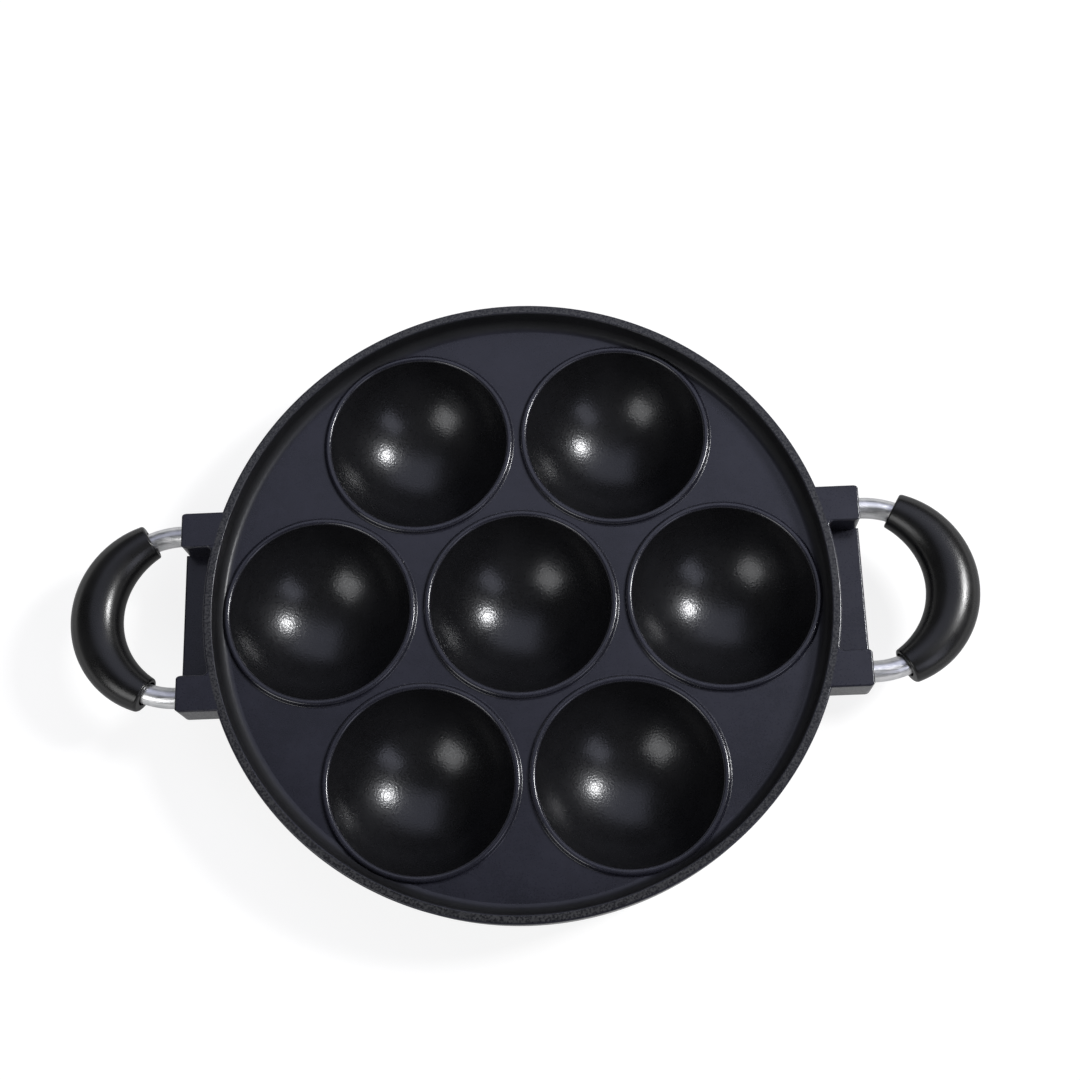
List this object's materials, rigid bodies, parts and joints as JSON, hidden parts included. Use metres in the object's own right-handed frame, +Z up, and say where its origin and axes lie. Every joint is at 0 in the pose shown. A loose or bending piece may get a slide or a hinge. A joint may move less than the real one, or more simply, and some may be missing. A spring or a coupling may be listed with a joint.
{
  "type": "takoyaki pan",
  "caption": "Round cast pan with hemispherical cups in a shallow rimmed tray, dark non-stick finish, and a curved dark grip on a bright bent bar at each side.",
  "frame": {"origin": "centre of the footprint, on the surface that the pan stands on", "axes": "+X along the two handles, +Y across them, +Z up through the open tops of the cups"},
  "size_m": [0.345, 0.2398, 0.0397],
  "materials": {
    "coated_casting": "dark non-stick coating, satin, fine grain",
    "handle_bar": "polished",
    "grip": "moulded, satin black",
    "pin": "plain"
  },
  "bodies": {
    "root": {"pan_body": "coated_casting", "bar_left": "handle_bar", "bar_right": "handle_bar", "grip_left": "grip", "grip_right": "grip", "retaining_pins": "pin"}
  },
  "joints": []
}
